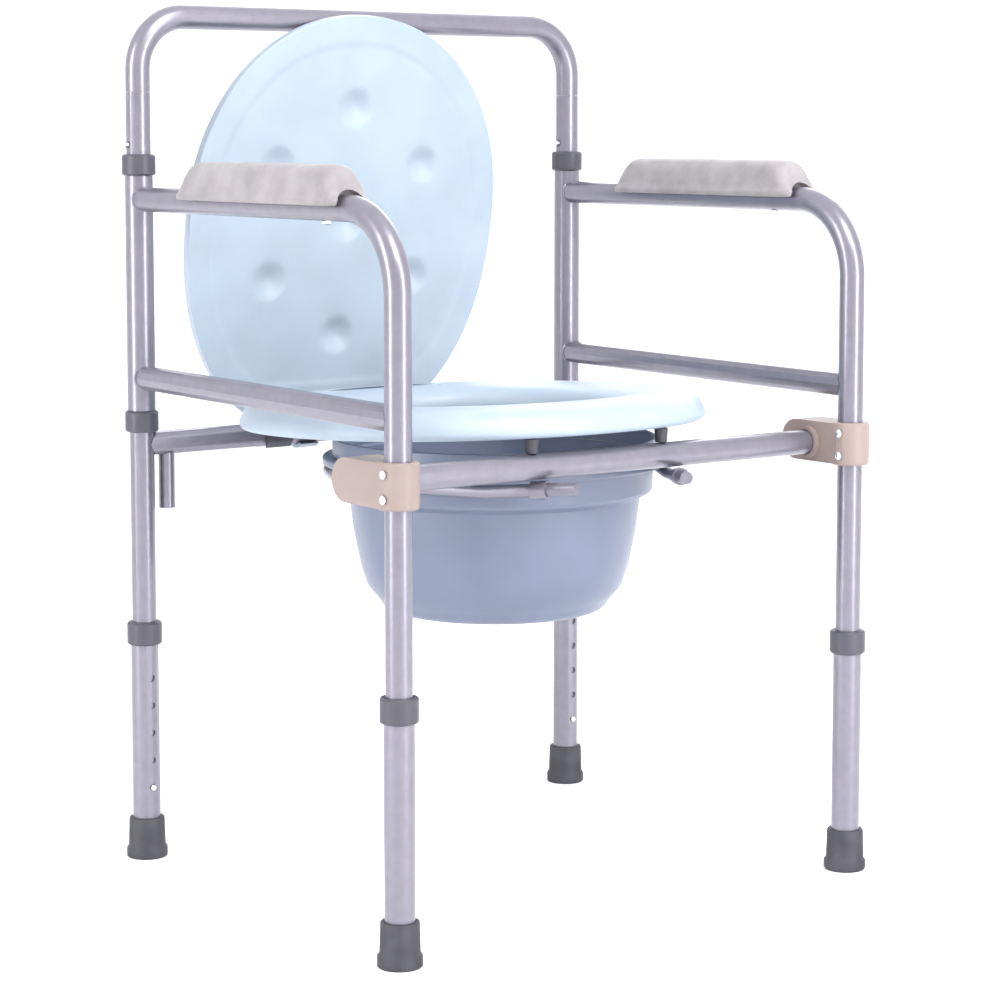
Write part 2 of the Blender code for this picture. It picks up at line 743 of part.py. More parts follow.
def lid():
    """The lid, with two ears at its back edge that reach down and grip the rear bar."""
    edge = 0.003
    loops = []
    for inset, z in (
        (0.0, LID_LOW),
        (0.0, LID_LOW + LID_THICK - edge),
        (edge, LID_LOW + LID_THICK),
    ):
        shape = oval(
            LID_HALF_W - inset, LID_CENTRE, LID_FRONT - inset, LID_REAR - inset, 2.1, 2.3, 60
        )
        loops.append([(x, min(y, LID_BACK - inset), z) for x, y in shape])
    body = loft("lid", loops, SEAT_PLASTIC, capped=True)
    for side, sign in SIDES.items():
        x = sign * EAR_X
        outline = [
            (-0.030, LID_LOW + 0.001),
            (-0.030, LID_LOW + LID_THICK - 0.004),
            (0.004, LID_LOW + LID_THICK - 0.003),
            (GRIP_R * 0.9, LID_LOW - 0.002),
            (GRIP_R, 0.0),
            (-GRIP_R, 0.0),
            (-GRIP_R * 0.9, LID_LOW + 0.001),
        ]
        ear = prism(f"lid_ear_{side}", outline, x - EAR_HALF, x + EAR_HALF, None)
        move_to_cutters(on_pivot(ear, LID_ANGLE))
        cut(body, ear, "UNION")
        centre = Vector((SEAT_X + x, PIVOT_Y, PIVOT_Z))
        reach = Vector((EAR_HALF, 0, 0))
        jaw = cylinder_cutter(
            f"lid_jaw_{side}", GRIP_R, centre - reach * 0.98, centre + reach * 0.98, 24
        )
        cut(body, jaw, "UNION")
        bore = cylinder_cutter(
            f"lid_bore_{side}", BORE_R, centre - reach * 1.5, centre + reach * 1.5, 24
        )
        cut(body, bore)
        low = (x - 0.014, -0.0085, -0.030)
        mouth = box_mesh(f"lid_mouth_{side}", low, (x + 0.014, 0.0085, 0.0), None, CUTTERS)
        cut(body, on_pivot(mouth, LID_ANGLE))
    on_pivot(body, LID_ANGLE)


def stand_on_origin():
    """Hang the chair from one empty, with the middle of its bounding box over the origin."""
    bpy.context.view_layer.update()
    depsgraph = bpy.context.evaluated_depsgraph_get()
    depths = []
    for obj in PARTS.objects:
        if obj.type == "MESH":
            solid = obj.evaluated_get(depsgraph)
            depths += [(solid.matrix_world @ v.co).y for v in solid.data.vertices]
    loose = [obj for obj in bpy.data.objects if obj.parent is None]
    base = bpy.data.objects.new("chair", None)
    PARTS.objects.link(base)
    base.location.y = -(min(depths) + max(depths)) / 2
    for obj in loose:
        obj.parent = base


back_frame()
for SIDE, SIGN in SIDES.items():
    side_frame(SIDE, SIGN)
    front_bracket(SIDE, SIGN)
legs()
pail_rod(front_bar())
rod_rest()
pail()
seat()
lid()
stand_on_origin()
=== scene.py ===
"""Looks of the folding commode chair.

Smooth tubes, moulded plastic, a dimpled lid, soft arm pads and studio light.

Metres, +Z up, in the CAD model's frame. The chair's front faces -Y.
"""

import json
import math

import bmesh
import bpy
from mathutils import Matrix, Vector


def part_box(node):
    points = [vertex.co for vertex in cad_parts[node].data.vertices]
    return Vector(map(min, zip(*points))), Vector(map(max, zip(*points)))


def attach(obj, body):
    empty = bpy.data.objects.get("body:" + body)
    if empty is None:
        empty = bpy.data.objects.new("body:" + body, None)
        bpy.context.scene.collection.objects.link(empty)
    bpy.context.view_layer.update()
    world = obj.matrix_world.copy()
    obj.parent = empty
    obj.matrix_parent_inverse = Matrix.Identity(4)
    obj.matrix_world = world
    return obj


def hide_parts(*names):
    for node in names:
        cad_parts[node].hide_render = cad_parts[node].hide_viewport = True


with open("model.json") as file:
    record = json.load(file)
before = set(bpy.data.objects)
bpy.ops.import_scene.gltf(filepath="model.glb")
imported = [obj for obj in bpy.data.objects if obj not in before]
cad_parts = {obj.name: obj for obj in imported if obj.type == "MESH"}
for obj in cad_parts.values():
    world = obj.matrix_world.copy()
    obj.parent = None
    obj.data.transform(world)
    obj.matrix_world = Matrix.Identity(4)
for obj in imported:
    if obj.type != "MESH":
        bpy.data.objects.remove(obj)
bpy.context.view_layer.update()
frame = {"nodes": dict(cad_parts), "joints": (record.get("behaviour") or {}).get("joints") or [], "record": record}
PIVOT = next(Vector(j["pos_m"]) for j in frame["joints"] if j["name"] == "seat_lift")
SIDES = {"left": -1, "right": 1}

# Seat and lid, in their own frame: X along the pivot, -Y forwards, Z away from the rear bar
SEAT_TILT = math.radians(2.1)
LID_ANGLE = math.radians(80.4)
SEAT_LOW = 0.0154
SEAT_TOP = 0.0414
SEAT_HALF_W = 0.206
SEAT_HALF_L = 0.198
SEAT_CENTRE = -0.197
HOLE_HALF_W = 0.118
HOLE_HALF_L = 0.125
LID_HALF_W = 0.172
LID_CENTRE = -0.197
LID_FRONT = 0.192
LID_REAR = 0.215
LID_BACK = -0.010
LID_LOW = 0.0419
LID_THICK = 0.011
EAR_X = 0.055
EAR_HALF = 0.010
GRIP_R = 0.0150
BORE_R = 0.0114
DIMPLE_R = 0.021
DIMPLE_DEPTH = 0.0062
DIMPLE_MIDDLE = -0.192
DIMPLE_RING = (0.094, 0.110)
DIMPLE_TURNS = [math.radians(30 + 60 * i) for i in range(6)]
DIMPLES = [(0.0, DIMPLE_MIDDLE)] + [
    (DIMPLE_RING[0] * math.cos(turn), DIMPLE_MIDDLE + DIMPLE_RING[1] * math.sin(turn))
    for turn in DIMPLE_TURNS
]
NOTCH_R = 0.0165
TUBE_R = 0.0111
ROD_R = 0.0055
ROD_END_X = 0.060
ROD_END_Z = 0.3698
ROD_REACH = 0.405  # from the pivot forwards to the rod's ends
ROD_FLAT = 0.42  # share of the rod's straight run that stays level

# Powers of the ovals' front and rear halves: 2 is an ellipse, more is squarer
LID_POWERS = (2.1, 2.3)
SEAT_POWERS = (2.2, 2.2)
HOLE_POWERS = (2.1, 2.1)

# Camera and light
CAMERA_PLACE = (-1.4357, -1.9696, 0.66764)
CAMERA_PITCH = -5.645
CAMERA_TURN = -36.351
CAMERA_LENS = 98.469
CAMERA_SHIFT_Y = -0.10
WORLD_STRENGTH = 1.6


# Materials


class Nodes:
    """A material's node tree, with short calls to add to it."""

    def __init__(self, name, colour, roughness, metallic=0.0):
        self.material = bpy.data.materials.new(name)
        self.material.use_nodes = True
        self.tree = self.material.node_tree
        self.shader = self.tree.nodes["Principled BSDF"]
        self.shader.inputs["Base Color"].default_value = (*colour, 1.0)
        self.shader.inputs["Roughness"].default_value = roughness
        self.shader.inputs["Metallic"].default_value = metallic
        self.place = self.tree.nodes.new("ShaderNodeTexCoord").outputs["Object"]
        self.normal = None

    def noise(self, scale, detail=3.0, rough=0.55):
        node = self.tree.nodes.new("ShaderNodeTexNoise")
        node.inputs["Scale"].default_value = scale
        node.inputs["Detail"].default_value = detail
        node.inputs["Roughness"].default_value = rough
        self.tree.links.new(self.place, node.inputs["Vector"])
        return node.outputs["Fac"]

    def cells(self, scale):
        node = self.tree.nodes.new("ShaderNodeTexVoronoi")
        node.feature = "SMOOTH_F1"
        node.inputs["Scale"].default_value = scale
        self.tree.links.new(self.place, node.inputs["Vector"])
        return node.outputs["Distance"]

    def vary_colour(self, source, dark, light, low=0.35, high=0.65):
        ramp = self.tree.nodes.new("ShaderNodeValToRGB")
        ramp.color_ramp.elements[0].position = low
        ramp.color_ramp.elements[0].color = (*dark, 1.0)
        ramp.color_ramp.elements[1].position = high
        ramp.color_ramp.elements[1].color = (*light, 1.0)
        self.tree.links.new(source, ramp.inputs["Fac"])
        self.tree.links.new(ramp.outputs["Color"], self.shader.inputs["Base Color"])

    def vary_roughness(self, source, low, high):
        span = self.tree.nodes.new("ShaderNodeMapRange")
        span.inputs["To Min"].default_value = low
        span.inputs["To Max"].default_value = high
        self.tree.links.new(source, span.inputs["Value"])
        self.tree.links.new(span.outputs["Result"], self.shader.inputs["Roughness"])

    def bump(self, source, distance, strength=1.0):
        node = self.tree.nodes.new("ShaderNodeBump")
        node.inputs["Distance"].default_value = distance
        node.inputs["Strength"].default_value = strength
        self.tree.links.new(source, node.inputs["Height"])
        if self.normal:
            self.tree.links.new(self.normal, node.inputs["Normal"])
        self.normal = node.outputs["Normal"]
        self.tree.links.new(self.normal, self.shader.inputs["Normal"])


def shade(colour, factor):
    return tuple(channel * factor for channel in colour)


def frame_paint():
    """Metallic grey-mauve enamel with a fine hammered surface and a clear coat."""
    colour = (0.200, 0.190, 0.228)
    made = Nodes("hammered_frame_paint", colour, 0.34, 0.70)
    made.vary_colour(made.noise(90.0, 4.0), shade(colour, 0.96), shade(colour, 1.05))
    made.vary_roughness(made.noise(260.0), 0.28, 0.40)
    made.bump(made.cells(420.0), 0.00006, 0.5)
    made.bump(made.noise(1600.0), 0.00002, 0.4)
    made.shader.inputs["Coat Weight"].default_value = 0.35
    made.shader.inputs["Coat Roughness"].default_value = 0.18
    return made.material


def moulded(name, colour, roughness, grain, depth, mottle=0.05):
    """Injection-moulded plastic: a fine spark-eroded grain, slow colour drift and slight scuffs."""
    made = Nodes(name, colour, roughness)
    made.vary_colour(made.noise(14.0, 5.0), shade(colour, 1 - mottle), shade(colour, 1 + mottle))
    made.vary_roughness(made.noise(70.0, 5.0), roughness - 0.06, roughness + 0.08)
    made.bump(made.noise(grain, 2.0), depth, 0.6)
    made.bump(made.noise(25.0, 2.0), 0.0002, 0.15)
    return made.material


def pad_skin():
    """Self-skinned foam with a leathery pebble grain."""
    colour = (0.225, 0.208, 0.214)
    made = Nodes("grey_pad_skin", colour, 0.62)
    made.vary_colour(made.noise(45.0, 5.0), shade(colour, 0.86), shade(colour, 1.14))
    made.bump(made.cells(620.0), 0.00022, 0.7)
    made.bump(made.noise(900.0), 0.00008, 0.6)
    made.shader.inputs["Sheen Weight"].default_value = 0.15
    return made.material


def rubber():
    colour = (0.026, 0.025, 0.032)
    made = Nodes("black_rubber", colour, 0.58)
    made.vary_colour(made.noise(60.0, 5.0), shade(colour, 0.8), shade(colour, 1.5))
    made.vary_roughness(made.noise(120.0, 4.0), 0.5, 0.72)
    made.bump(made.noise(900.0), 0.00008, 0.6)
    return made.material


def bright_steel():
    made = Nodes("bright_steel", (0.72, 0.71, 0.73), 0.2, 1.0)
    made.vary_roughness(made.noise(300.0, 4.0), 0.14, 0.34)
    made.bump(made.noise(1400.0), 0.00002, 0.4)
    return made.material


FINISH = {
    "hammered_frame_paint": frame_paint(),
    "dark_collar_plastic": moulded("dark_collar_plastic", (0.052, 0.050, 0.066), 0.42, 1300.0, 0.00005),
    "taupe_bracket": moulded("taupe_bracket", (0.245, 0.190, 0.172), 0.44, 1200.0, 0.00006, 0.08),
    "blue_grey_plastic": moulded("blue_grey_plastic", (0.295, 0.355, 0.420), 0.42, 1400.0, 0.00005),
    "dark_blue_grey_plastic": moulded(
        "dark_blue_grey_plastic", (0.120, 0.142, 0.205), 0.34, 1500.0, 0.00003
    ),
    "grey_pad_vinyl": pad_skin(),
    "black_rubber": rubber(),
    "bright_steel": bright_steel(),
}
SLOT_OF = {part["node"]: part["material_slot"] for part in frame["record"]["subparts"]}
BODY_OF = {
    node: body
    for body, nodes in frame["record"]["behaviour"]["bodies"].items()
    for node in nodes
}


# Making pieces


def dress(obj, node, replaces=True):
    """Gives a piece the finish and the body of a CAD node, and stands it in that node's place if asked."""
    slot = SLOT_OF[node]
    obj.data.materials.clear()
    obj.data.materials.append(FINISH[slot])
    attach(obj, BODY_OF[node])
    if replaces:
        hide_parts(node)
    return obj


def from_bmesh(name, bm, angle=35.0):
    mesh = bpy.data.meshes.new(name)
    bmesh.ops.recalc_face_normals(bm, faces=bm.faces)
    bm.to_mesh(mesh)
    bm.free()
    mesh.shade_smooth()
    mesh.set_sharp_from_angle(angle=math.radians(angle))
    obj = bpy.data.objects.new(name, mesh)
    bpy.context.scene.collection.objects.link(obj)
    return obj


def settle(obj):
    """Applies the modifiers of a piece to its mesh."""
    graph = bpy.context.evaluated_depsgraph_get()
    mesh = bpy.data.meshes.new_from_object(obj.evaluated_get(graph))
    obj.modifiers.clear()
    obj.data = mesh
    return obj


def cut(obj, cutter, operation="DIFFERENCE"):
    step = obj.modifiers.new("cut", "BOOLEAN")
    step.operation = operation
    step.solver = "EXACT"
    step.object = cutter
    bpy.context.view_layer.update()
    settle(obj)
    bpy.data.objects.remove(cutter, do_unlink=True)
    obj.data.shade_smooth()
    obj.data.set_sharp_from_angle(angle=math.radians(35))
    return obj


def soften(obj, width, segments=2):
    step = obj.modifiers.new("soft_edges", "BEVEL")
    step.width = width
    step.segments = segments
    step.limit_method = "ANGLE"
    step.angle_limit = math.radians(38)
    step.use_clamp_overlap = True
    step.harden_normals = True
    bpy.context.view_layer.update()
    return settle(obj)


def bridge(bm, one, other):
    """Joins two rings of the same number of vertices with a band of quads."""
    for i in range(len(one)):
        j = (i + 1) % len(one)
        bm.faces.new((one[i], one[j], other[j], other[i]))


def box(name, low, high):
    bm = bmesh.new()
    bmesh.ops.create_cube(bm, size=1.0)
    low = Vector(low)
    size = Vector(high) - low
    bm.transform(Matrix.Translation(low + size / 2) @ Matrix.Diagonal((*size, 1.0)))
    return from_bmesh(name, bm)


def cylinder(name, radius, start, end, sides=48):
    start = Vector(start)
    along = Vector(end) - start
    bm = bmesh.new()
    bmesh.ops.create_cone(
        bm, cap_ends=True, segments=sides, radius1=radius, radius2=radius, depth=along.length
    )
    turn = along.to_track_quat("Z", "Y").to_matrix().to_4x4()
    bm.transform(Matrix.Translation(start + along / 2) @ turn)
    return from_bmesh(name, bm)


def turned(name, profile, centre, steps=96, angle=35.0):
    """A turned shell from (radius, height) points in a closed loop or from axis to axis."""
    bm = bmesh.new()
    rings = []
    for r, z in profile:
        if r < 1e-6:
            rings.append([bm.verts.new((centre[0], centre[1], z))])
            continue
        ring = []
        for i in range(steps):
            turn = 2 * math.pi * i / steps
            x = centre[0] + r * math.cos(turn)
            ring.append(bm.verts.new((x, centre[1] + r * math.sin(turn), z)))
        rings.append(ring)
    pairs = list(zip(rings, rings[1:]))
    if len(rings[0]) > 1:
        pairs.append((rings[-1], rings[0]))
    for one, other in pairs:
        for i in range(steps):
            j = (i + 1) % steps
            corners = [one[i % len(one)], one[j % len(one)]]
            corners += [other[j % len(other)], other[i % len(other)]]
            face = list(dict.fromkeys(corners))
            bm.faces.new(face)
    return from_bmesh(name, bm, angle)


def arc(centre, radius, start, end, steps=8):
    """Points of a profile along an arc, with its angles in degrees."""
    points = []
    for i in range(steps + 1):
        turn = math.radians(start + (end - start) * i / steps)
        points.append((centre[0] + radius * math.cos(turn), centre[1] + radius * math.sin(turn)))
    return points


def rounded(points, radius, steps=20):
    """A route whose corners are arcs of one radius."""
    points = [Vector(p) for p in points]
    made = [points[0]]
    for before, corner, after in zip(points, points[1:], points[2:]):
        back = (before - corner).normalized()
        ahead = (after - corner).normalized()
        half = back.angle(ahead) / 2
        centre = corner + (back + ahead).normalized() * radius / math.sin(half)
        first = corner + back * radius / math.tan(half) - centre
        last = corner + ahead * radius / math.tan(half) - centre
        angle = first.angle(last)
        for i in range(steps + 1):
            share = i / steps
            a = math.sin((1 - share) * angle) / math.sin(angle)
            b = math.sin(share * angle) / math.sin(angle)
            made.append(centre + first * a + last * b)
    made.append(points[-1])
    return made


def pipe(name, points, radius):
    """A smooth bent tube with closed ends."""
    curve = bpy.data.curves.new(name, "CURVE")
    curve.dimensions = "3D"
    curve.bevel_depth = radius
    curve.bevel_resolution = 14
    curve.use_fill_caps = True
    spline = curve.splines.new("POLY")
    spline.points.add(len(points) - 1)
    for point, co in zip(spline.points, points):
        point.co = (*co, 1.0)
    path = bpy.data.objects.new(name + "_path", curve)
    bpy.context.scene.collection.objects.link(path)
    graph = bpy.context.evaluated_depsgraph_get()
    mesh = bpy.data.meshes.new_from_object(path.evaluated_get(graph))
    bpy.data.objects.remove(path, do_unlink=True)
    bm = bmesh.new()
    bm.from_mesh(mesh)
    bmesh.ops.remove_doubles(bm, verts=bm.verts, dist=1e-6)
    return from_bmesh(name, bm)


def oval(half_w, centre_y, front, rear, front_power, rear_power, count):
    points = []
    for i in range(count):
        turn = 2 * math.pi * i / count
        c = math.cos(turn)
        s = math.sin(turn)
        power = 2 / (rear_power if s > 0 else front_power)
        length = rear if s > 0 else front
        x = half_w * math.copysign(abs(c) ** power, c)
        points.append((x, centre_y + length * math.copysign(abs(s) ** power, s)))
    return points


def on_pivot(obj, angle):
    """Turns a piece made in the seat's own frame into place, its front end raised by angle."""
    obj.data.transform(Matrix.Translation(PIVOT) @ Matrix.Rotation(-angle, 4, "X"))
    return obj


# The chair


def refined(node, edge=0.0):
    """A CAD node's own shape, with smooth shading and, where asked, softened edges."""
    bm = bmesh.new()
    bm.from_mesh(frame["nodes"][node].data)
    bmesh.ops.remove_doubles(bm, verts=bm.verts, dist=1e-5)
    bmesh.ops.dissolve_limit(bm, angle_limit=math.radians(0.5), verts=bm.verts, edges=bm.edges)
    obj = from_bmesh("fine_" + node, bm)
    if edge:
        soften(obj, edge)
    return dress(obj, node)


def upper_tubes():
    """The backrest hoop and the two arm tubes, with smooth bends."""
    low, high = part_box("backrest_hoop")
    top = high.z - TUBE_R
    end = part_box("rear_upright_left")[1].z + 0.0003
    y = (low.y + high.y) / 2
    left, right = low.x + TUBE_R, high.x - TUBE_R
    route = rounded([(left, y, end), (left, y, top), (right, y, top), (right, y, end)], 0.048)
    dress(pipe("fine_backrest_hoop", route, TUBE_R), "backrest_hoop")
    for side in SIDES:
        low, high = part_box(f"arm_tube_{side}")
        x = (low.x + high.x) / 2
        front, arm = low.y + TUBE_R, high.z - TUBE_R
        back = high.y - 0.0012
        route = rounded([(x, back, arm), (x, front, arm), (x, front, low.z)], 0.068)
        dress(pipe(f"fine_arm_tube_{side}", route, TUBE_R), f"arm_tube_{side}")


def weld_beads():
    """The thin weld fillets where the arm and the side bar meet the hinge sleeve."""
    for side in SIDES:
        sleeve = f"hinge_sleeve_{side}"
        low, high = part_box(sleeve)
        x = (low.x + high.x) / 2
        for name in ("arm_tube", "side_bar"):
            bar_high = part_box(f"{name}_{side}")[1]
            y = bar_high.y - 0.0015
            z = bar_high.z - TUBE_R
            bead = turned(f"weld_{name}_{side}", arc((TUBE_R, 0.0), 0.0012, 0, 315, 7), (0, 0), 40)
            bead.data.transform(
                Matrix.Translation((x, y, z)) @ Matrix.Rotation(math.pi / 2, 4, "X")
            )
            dress(bead, f"{name}_{side}", replaces=False)


def arm_pad(side):
    """A moulded pad: flat top, sloping ends, a bead along its lower edge, and an arch over the tube."""
    node = f"arm_pad_{side}"
    low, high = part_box(node)
    x = (low.x + high.x) / 2
    y = (low.y + high.y) / 2
    half_x = (high.x - low.x) / 2
    half_y = (high.y - low.y) / 2
    rows = (
        (0.0010, 0.0010, 0.0000),
        (0.0000, 0.0000, 0.0012),
        (0.0000, 0.0000, 0.0050),
        (0.0012, 0.0016, 0.0064),
        (0.0020, 0.0040, 0.0110),
        (0.0034, 0.0085, 0.0190),
        (0.0050, 0.0125, 0.0252),
        (0.0070, 0.0160, 0.0292),
        (0.0102, 0.0200, 0.0318),
        (0.0145, 0.0250, 0.0329),
    )
    bm = bmesh.new()
    rings = []
    for inset_x, inset_y, z in rows:
        corner = 0.012
        ring = []
        for turn in range(0, 360, 90):
            cx = half_x - inset_x - corner * 0.7
            cy = half_y - inset_y - corner
            sx = 1 if turn in (0, 270) else -1
            sy = 1 if turn in (0, 90) else -1
            for px, py in arc((0, 0), 1.0, turn, turn + 90, 7):
                ring.append(
                    bm.verts.new((x + sx * cx + px * corner * 0.7, y + sy * cy + py * corner, low.z + z))
                )
        rings.append(ring)
    for one, other in zip(rings, rings[1:]):
        bridge(bm, one, other)
    bm.faces.new(rings[0])
    bm.faces.new(rings[-1])
    obj = from_bmesh(f"fine_{node}", bm, 60.0)
    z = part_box(f"arm_tube_{side}")[1].z - TUBE_R
    cut(obj, cylinder("groove", 0.0117, (x, low.y - 0.01, z), (x, high.y + 0.01, z)))
    for end in (low.y, high.y):
        start = end - math.copysign(0.012, end - y)
        cut(obj, cylinder("arch", 0.0150, (x, start, z), (x, end + (end - start), z)))
    obj.data.set_sharp_from_angle(angle=math.radians(60))
    dress(obj, node)


def pail():
    """The pail with its rolled rim, stepped shoulder and foot ring, and the splash guard."""
    low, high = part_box("pail")
    centre = ((low.x + high.x) / 2, (low.y + high.y) / 2)
    rim = (high.x - low.x) / 2
    top = high.z
    base = low.z
    wall = 0.0025
    outside = [(0.0, base + 0.0015), (0.080, base + 0.0015), (0.083, base), (0.092, base)]
    outside += arc((0.092, base + 0.012), 0.012, -90, -20, 8)
    outside += [(0.1065, base + 0.012), (0.1150, base + 0.022), (0.1210, base + 0.040)]
    outside += [(0.1250, base + 0.060), (0.1280, base + 0.076), (0.1300, base + 0.092)]
    outside += [(0.1310, base + 0.102), (0.1345, base + 0.1045), (0.1405, base + 0.107)]
    outside += arc((0.1395, base + 0.111), 0.003, -60, 0, 4)
    outside += [(0.1425, top - 0.0095), (0.1435, top - 0.0075)]
    edge = 0.0022
    outside += arc((rim - edge, top - 0.0075 + edge), edge, -90, 0, 5)
    outside += arc((rim - edge, top - edge), edge, 0, 90, 5)
    inside = [(0.1405, top), (0.1390, top - 0.002), (0.1385, base + 0.111)]
    inside += [(r - wall, z + 0.0012) for r, z in ((0.1310, base + 0.102), (0.1280, base + 0.076))]
    inside += [(r - wall, z + 0.0012) for r, z in ((0.1210, base + 0.040), (0.1150, base + 0.022))]
    inside += [(0.098, base + 0.006), (0.090, base + 0.004), (0.0, base + 0.004)]
    dress(turned("fine_pail", outside + inside, centre), "pail")
    low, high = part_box("splash_guard")
    outer = (high.x - low.x) / 2
    guard = [(outer - 0.0025, low.z), (outer, low.z), (outer, high.z - 0.001)]
    guard += arc((outer - 0.00125, high.z - 0.00125), 0.00125, 0, 180, 6)
    dress(turned("fine_splash_guard", guard, centre), "splash_guard")


def pail_rod():
    """The carrying rod: a ring under the rim, with two ends that run out under the front bar."""
    low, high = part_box("pail_rod")
    radius = (high.x - low.x) / 2 - ROD_R
    z = low.z + ROD_R
    centre_y = (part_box("pail")[0].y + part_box("pail")[1].y) / 2
    end = Vector((ROD_END_X, PIVOT.y - ROD_REACH, ROD_END_Z))
    away = Vector((end.x, end.y - centre_y))
    first = math.atan2(away.y, away.x) + math.acos(radius / away.length)
    last = math.pi - first
    ring = []
    for i in range(97):
        turn = first + (last - first) * i / 96
        ring.append(Vector((radius * math.cos(turn), centre_y + radius * math.sin(turn), z)))
    clear = ring[0] + ROD_FLAT * (Vector((end.x, end.y, z)) - ring[0])
    mirrored = [Vector((-p.x, p.y, p.z)) for p in (clear, end)]
    dress(pipe("fine_pail_rod", [end, clear, *ring, *mirrored], ROD_R), "pail_rod")


def seat():
    """The seat ring: a soft crown, a rolled outer edge, a lip round the opening and two notches behind."""
    count = 160
    height = SEAT_TOP - SEAT_LOW
    outer = [(0.004, 0.0)]
    outer += [(0.0025 * (1 - s), 0.004 * s) for s in (0.3, 1.0)]
    outer += [(0.0, 0.006), (0.0004, 0.0085), (0.0022, 0.0130), (0.0048, 0.0175)]
    outer += [(0.0085, 0.0208), (0.0140, 0.0232), (0.0220, 0.0249), (0.0330, 0.0258)]
    outer += [(0.0460, height)]
    inner = [(0.0300, height - 0.0010), (0.0180, 0.0236), (0.0090, 0.0205)]
    inner += [(0.0035, 0.0165), (0.0008, 0.0120), (0.0, 0.0060), (0.0010, 0.0)]
    loops = []
    for inset, z in outer:
        ring = oval(
            SEAT_HALF_W - inset,
            SEAT_CENTRE,
            SEAT_HALF_L - inset,
            SEAT_HALF_L - inset,
            *SEAT_POWERS,
            count,
        )
        loops.append([(x, y, SEAT_LOW + z) for x, y in ring])
    for grow, z in inner:
        ring = oval(
            HOLE_HALF_W + grow,
            SEAT_CENTRE,
            HOLE_HALF_L + grow,
            HOLE_HALF_L + grow,
            *HOLE_POWERS,
            count,
        )
        loops.append([(x, y, SEAT_LOW + z) for x, y in ring])
    bm = bmesh.new()
    rings = [[bm.verts.new(p) for p in loop] for loop in loops]
    for one, other in zip(rings, rings[1:] + rings[:1]):
        bridge(bm, one, other)
    obj = from_bmesh("fine_seat", bm)
    for side, sign in SIDES.items():
        half = EAR_HALF + 0.0008
        low = (sign * EAR_X - half, -GRIP_R - 0.0008, 0.0)
        cut(obj, box("notch", low, (sign * EAR_X + half, 0.03, 0.06)))
    dress(on_pivot(obj, SEAT_TILT), "seat")


def lid_relief(x, y, reach):
    """Depth of the lid's under face at a point: the sunk field inside the rim, and the round dimples."""
    share = min(max((0.875 - reach) / 0.025, 0.0), 1.0)
    depth = 0.0011 * share * share * (3 - 2 * share)
    for cx, cy in DIMPLES:
        away = math.hypot(x - cx, y - cy) / DIMPLE_R
        if away < 1.0:
            depth += DIMPLE_DEPTH * (0.5 + 0.5 * math.cos(math.pi * away)) ** 0.8
    return depth


def lid():
    """The lid, seen from below when it is up: a flat rim, a sunk field, dimples and a finger notch."""
    count = 224
    rows = 72
    under = []
    for k in range(rows):
        reach = 1.0 - k / rows
        if k == 0:
            reach = 0.996
        ring = oval(
            LID_HALF_W * reach, LID_CENTRE, LID_FRONT * reach, LID_REAR * reach, *LID_POWERS, count
        )
        back = LID_CENTRE + (LID_BACK - LID_CENTRE) * reach
        ring = [(x, min(y, back)) for x, y in ring]
        under.append([(x, y, LID_LOW + lid_relief(x, y, reach)) for x, y in ring])
    upper = []
    edge = 0.0032
    for inset, z in arc((edge, LID_THICK - edge), edge, 180, 90, 6) + [(0.020, LID_THICK)]:
        ring = oval(
            LID_HALF_W - inset, LID_CENTRE, LID_FRONT - inset, LID_REAR - inset, *LID_POWERS, count
        )
        upper.append([(x, min(y, LID_BACK - inset), LID_LOW + z) for x, y in ring])
    rim = oval(LID_HALF_W, LID_CENTRE, LID_FRONT, LID_REAR, *LID_POWERS, count)
    rim = [[(x, min(y, LID_BACK), LID_LOW + 0.0008) for x, y in rim]]
    bm = bmesh.new()
    rings = [[bm.verts.new(p) for p in loop] for loop in under[::-1] + rim + upper]
    for one, other in zip(rings, rings[1:]):
        bridge(bm, one, other)
    middle = bm.verts.new((0, LID_CENTRE, LID_LOW + lid_relief(0, LID_CENTRE, 0.0)))
    for i in range(count):
        bm.faces.new((rings[0][(i + 1) % count], rings[0][i], middle))
    bm.faces.new(rings[-1])
    obj = from_bmesh("fine_lid", bm, 50.0)
    tip = LID_CENTRE - LID_FRONT
    notch = cylinder("notch", NOTCH_R, (0, tip, LID_LOW - 0.01), (0, tip, LID_LOW + 0.0075))
    cut(obj, notch)
    for side, sign in SIDES.items():
        add_ear(side, sign * EAR_X)
    dress(on_pivot(obj, LID_ANGLE), "lid")


def add_ear(side, x):
    """One of the lid's ears, which reaches from its back edge to the rear bar and grips it."""
    outline = [(-0.024, LID_LOW + 0.0015), (-0.024, LID_LOW + LID_THICK - 0.0045)]
    outline += [(0.004, LID_LOW + LID_THICK - 0.003), (GRIP_R * 0.9, LID_LOW - 0.002)]
    outline += [(GRIP_R, 0.0), (-GRIP_R, 0.0), (-GRIP_R * 0.9, LID_LOW + 0.0015)]
    bm = bmesh.new()
    ends = [[bm.verts.new((x + s * EAR_HALF, y, z)) for y, z in outline] for s in (-1, 1)]
    for ring in ends:
        bm.faces.new(ring)
    for i in range(len(outline)):
        j = (i + 1) % len(outline)
        bm.faces.new((ends[0][i], ends[0][j], ends[1][j], ends[1][i]))
    ear = from_bmesh(f"lid_ear_{side}", bm)
    reach = EAR_HALF * 0.99
    cut(ear, cylinder("jaw", GRIP_R, (x - reach, 0, 0), (x + reach, 0, 0)), "UNION")
    cut(ear, cylinder("bore", BORE_R, (x - 0.03, 0, 0), (x + 0.03, 0, 0)))
    cut(ear, box("mouth", (x - 0.03, -0.0085, -0.03), (x + 0.03, 0.0085, 0.0)))
    soften(ear, 0.0007)
    dress(on_pivot(ear, LID_ANGLE), "lid", replaces=False)


# Stage, light and camera


